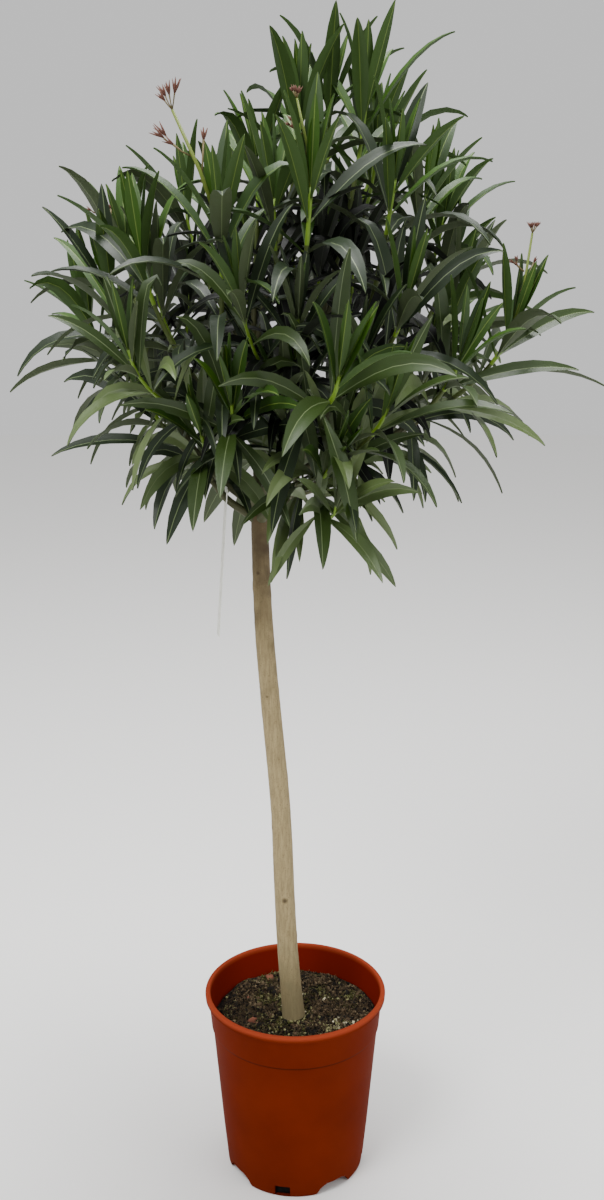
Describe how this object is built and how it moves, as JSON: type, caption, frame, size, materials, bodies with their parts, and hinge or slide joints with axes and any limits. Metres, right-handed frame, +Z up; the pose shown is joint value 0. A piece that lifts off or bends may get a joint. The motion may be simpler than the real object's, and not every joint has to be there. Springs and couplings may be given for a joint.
{
  "type": "potted oleander standard tree",
  "caption": "Narrow-leaved evergreen shrub grown as a small tree: round leafy crown on a bare slender stem, in a round plastic nursery pot.",
  "frame": {"origin": "on the ground under the middle of the pot, which is the bottom centre of the whole plant's box to within 8 mm", "axes": "+Z up along the plant's height; the side that the picture shows faces -Y"},
  "size_m": [0.6362, 0.6767, 1.3547],
  "materials": {
    "pot": "satin terracotta-coloured plastic",
    "potting_mix": "loose, matt",
    "bark": "smooth matt bark",
    "bough": "green matt bark",
    "foliage": "leathery, half matt",
    "label": "plain white, matt"
  },
  "bodies": {
    "root": {"pot": "pot", "soil": "potting_mix", "stem": "bark", "label": "label", "bough_low_left": "bough", "leaves_low_left": "foliage", "bough_front_low": "bough", "leaves_front_low": "foliage", "bough_back_low": "bough", "leaves_back_low": "foliage", "bough_right_low": "bough", "leaves_right_low": "foliage", "bough_left": "bough", "leaves_left": "foliage", "bough_front_left": "bough", "leaves_front_left": "foliage", "bough_right_back": "bough", "leaves_right_back": "foliage", "bough_front": "bough", "leaves_front": "foliage", "bough_back": "bough", "leaves_back": "foliage", "bough_upper_right": "bough", "leaves_upper_right": "foliage", "bough_upper_left": "bough", "leaves_upper_left": "foliage", "bough_top": "bough", "leaves_top": "foliage"}
  },
  "joints": []
}
